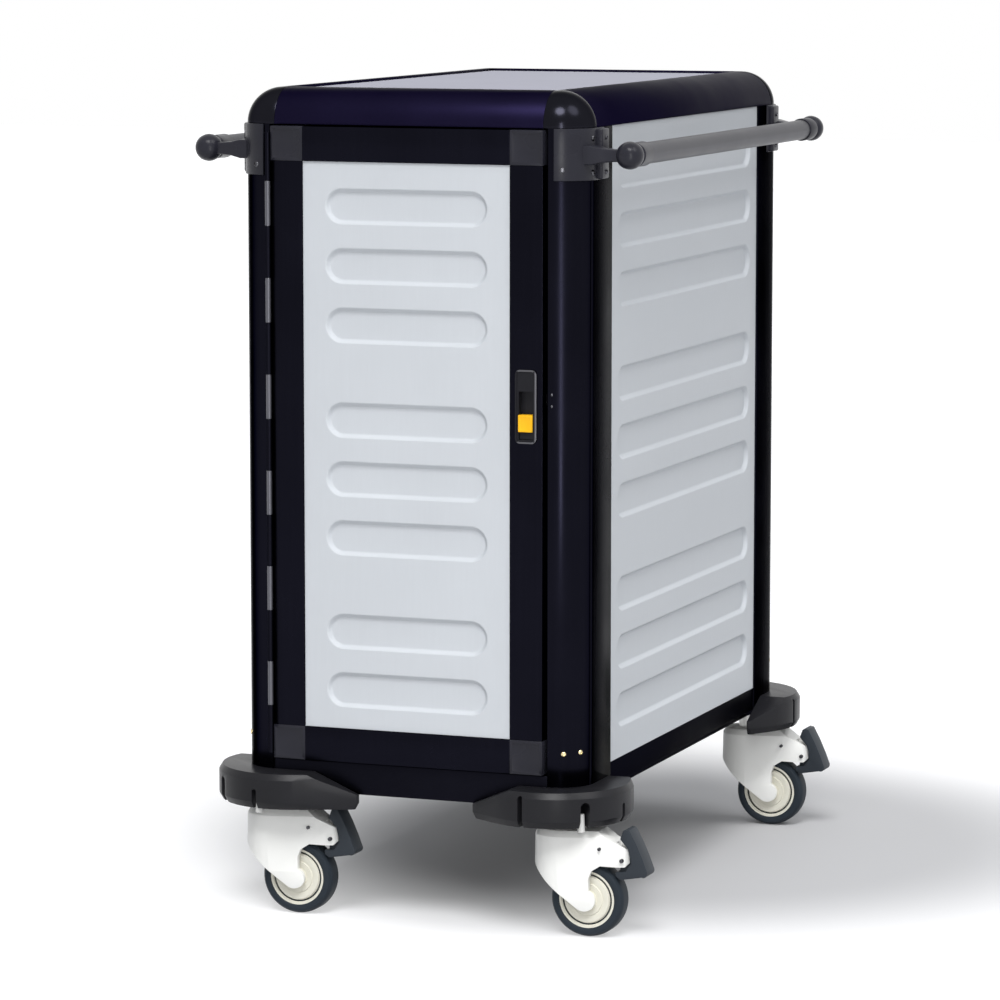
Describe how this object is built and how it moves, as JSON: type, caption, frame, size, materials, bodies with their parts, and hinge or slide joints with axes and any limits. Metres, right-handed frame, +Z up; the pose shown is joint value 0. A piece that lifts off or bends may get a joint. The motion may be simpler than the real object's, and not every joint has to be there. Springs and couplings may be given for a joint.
{
  "type": "enclosed meal tray cart",
  "caption": "Tall enclosed cart for meal trays: rounded black frame, embossed pale panels, hinged door with slide latch, side handles, corner bumpers, braked swivel casters.",
  "frame": {"origin": "on the floor, under the middle of the cabinet between its side faces and between the front and rear planes of its posts", "axes": "+X to the right seen from the door side, +Y from the door to the back, +Z up"},
  "size_m": [0.6385, 0.954, 1.1],
  "materials": {
    "frame": "satin black anodised or coated extrusion",
    "roof_rail": "satin black",
    "corner_plastic": "satin black moulding",
    "panel": "satin pale grey embossed sheet",
    "chassis": "satin black",
    "liner": "brushed",
    "foam": "matt foam",
    "bumper": "fine grained black",
    "tube": "satin grey anodised",
    "hinge_bright": "satin",
    "hinge_black": "satin black",
    "pin": "bright",
    "steel": "brushed",
    "seal": "matt",
    "latch_black": "satin",
    "yellow": "satin yellow",
    "housing": "ivory white moulding",
    "wheel": "ivory",
    "tyre": "matt dark grey",
    "pedal": "satin dark grey",
    "mount": "bright zinc"
  },
  "bodies": {
    "cabinet": {"post_front_left": "frame", "post_front_right": "frame", "post_rear_left": "frame", "post_rear_right": "frame", "roof_rail_front": "roof_rail", "roof_rail_rear": "roof_rail", "roof_rail_left": "roof_rail", "roof_rail_right": "roof_rail", "roof_corners": "corner_plastic", "top_panel": "panel", "base_frame": "chassis", "floor_panel": "liner", "side_panel_left": "panel", "side_panel_right": "panel", "rear_panel": "panel", "inner_liner": "liner", "wall_insulation": "foam", "tray_rack_left": "liner", "tray_rack_right": "liner", "bumper_front_left": "bumper", "bumper_front_right": "bumper", "bumper_rear_left": "bumper", "bumper_rear_right": "bumper", "handle_tubes": "tube", "handle_bracket_front_left": "corner_plastic", "handle_bracket_front_right": "corner_plastic", "handle_bracket_rear_left": "corner_plastic", "handle_bracket_rear_right": "corner_plastic", "hinge_frame_leaf": "hinge_bright", "hinge_pin": "pin", "latch_keeper": "steel", "caster_mounts": "mount"},
    "door": {"door_stile_hinge": "frame", "door_stile_latch": "frame", "door_rails": "frame", "door_corners": "corner_plastic", "door_panel": "panel", "door_inner_panel": "liner", "door_insulation": "foam", "door_gasket": "seal", "hinge_door_leaf": "hinge_black", "latch_housing": "latch_black"},
    "latch_slider": {"latch_slider": "yellow"},
    "latch_bolt": {"latch_bolt": "steel"},
    "caster_front_left": {"housing_front_left": "housing"},
    "roller_front_left": {"wheel_front_left": "wheel", "tyre_front_left": "tyre"},
    "brake_front_left": {"pedal_front_left": "pedal"},
    "caster_front_right": {"housing_front_right": "housing"},
    "roller_front_right": {"wheel_front_right": "wheel", "tyre_front_right": "tyre"},
    "brake_front_right": {"pedal_front_right": "pedal"},
    "caster_rear_left": {"housing_rear_left": "housing"},
    "roller_rear_left": {"wheel_rear_left": "wheel", "tyre_rear_left": "tyre"},
    "brake_rear_left": {"pedal_rear_left": "pedal"},
    "caster_rear_right": {"housing_rear_right": "housing"},
    "roller_rear_right": {"wheel_rear_right": "wheel", "tyre_rear_right": "tyre"},
    "brake_rear_right": {"pedal_rear_right": "pedal"}
  },
  "joints": [
    {"name": "door_hinge", "type": "hinge", "parent": "cabinet", "child": "door", "pos_m": [-0.1915, -0.4421, 0.214], "axis": [0, 0, -1], "range_deg": [0, 180]},
    {"name": "latch_slide", "type": "slide", "parent": "door", "child": "latch_slider", "axis": [0, 0, 1], "range_m": [0, 0.03]},
    {"name": "bolt_slide", "type": "slide", "parent": "door", "child": "latch_bolt", "axis": [1, 0, 0], "range_m": [0, 0.012]},
    {"name": "swivel_front_left", "type": "hinge", "parent": "cabinet", "child": "caster_front_left", "pos_m": [-0.205, -0.4, 0.128], "axis": [0, 0, 1], "continuous": true},
    {"name": "roll_front_left", "type": "hinge", "parent": "caster_front_left", "child": "roller_front_left", "pos_m": [-0.167, -0.4, 0.05], "axis": [0, 1, 0], "continuous": true},
    {"name": "brake_front_left", "type": "hinge", "parent": "caster_front_left", "child": "brake_front_left", "pos_m": [-0.118, -0.4, 0.105], "axis": [0, 1, 0], "range_deg": [0, 12]},
    {"name": "swivel_front_right", "type": "hinge", "parent": "cabinet", "child": "caster_front_right", "pos_m": [0.205, -0.4, 0.128], "axis": [0, 0, 1], "continuous": true},
    {"name": "roll_front_right", "type": "hinge", "parent": "caster_front_right", "child": "roller_front_right", "pos_m": [0.243, -0.4, 0.05], "axis": [0, 1, 0], "continuous": true},
    {"name": "brake_front_right", "type": "hinge", "parent": "caster_front_right", "child": "brake_front_right", "pos_m": [0.292, -0.4, 0.105], "axis": [0, 1, 0], "range_deg": [0, 12]},
    {"name": "swivel_rear_left", "type": "hinge", "parent": "cabinet", "child": "caster_rear_left", "pos_m": [-0.205, 0.4, 0.128], "axis": [0, 0, 1], "continuous": true},
    {"name": "roll_rear_left", "type": "hinge", "parent": "caster_rear_left", "child": "roller_rear_left", "pos_m": [-0.167, 0.4, 0.05], "axis": [0, 1, 0], "continuous": true},
    {"name": "brake_rear_left", "type": "hinge", "parent": "caster_rear_left", "child": "brake_rear_left", "pos_m": [-0.118, 0.4, 0.105], "axis": [0, 1, 0], "range_deg": [0, 12]},
    {"name": "swivel_rear_right", "type": "hinge", "parent": "cabinet", "child": "caster_rear_right", "pos_m": [0.205, 0.4, 0.128], "axis": [0, 0, 1], "continuous": true},
    {"name": "roll_rear_right", "type": "hinge", "parent": "caster_rear_right", "child": "roller_rear_right", "pos_m": [0.243, 0.4, 0.05], "axis": [0, 1, 0], "continuous": true},
    {"name": "brake_rear_right", "type": "hinge", "parent": "caster_rear_right", "child": "brake_rear_right", "pos_m": [0.292, 0.4, 0.105], "axis": [0, 1, 0], "range_deg": [0, 12]}
  ],
  "couplings": [
    {"joint": "bolt_slide", "follows": "latch_slide", "ratio": 0.4}
  ]
}
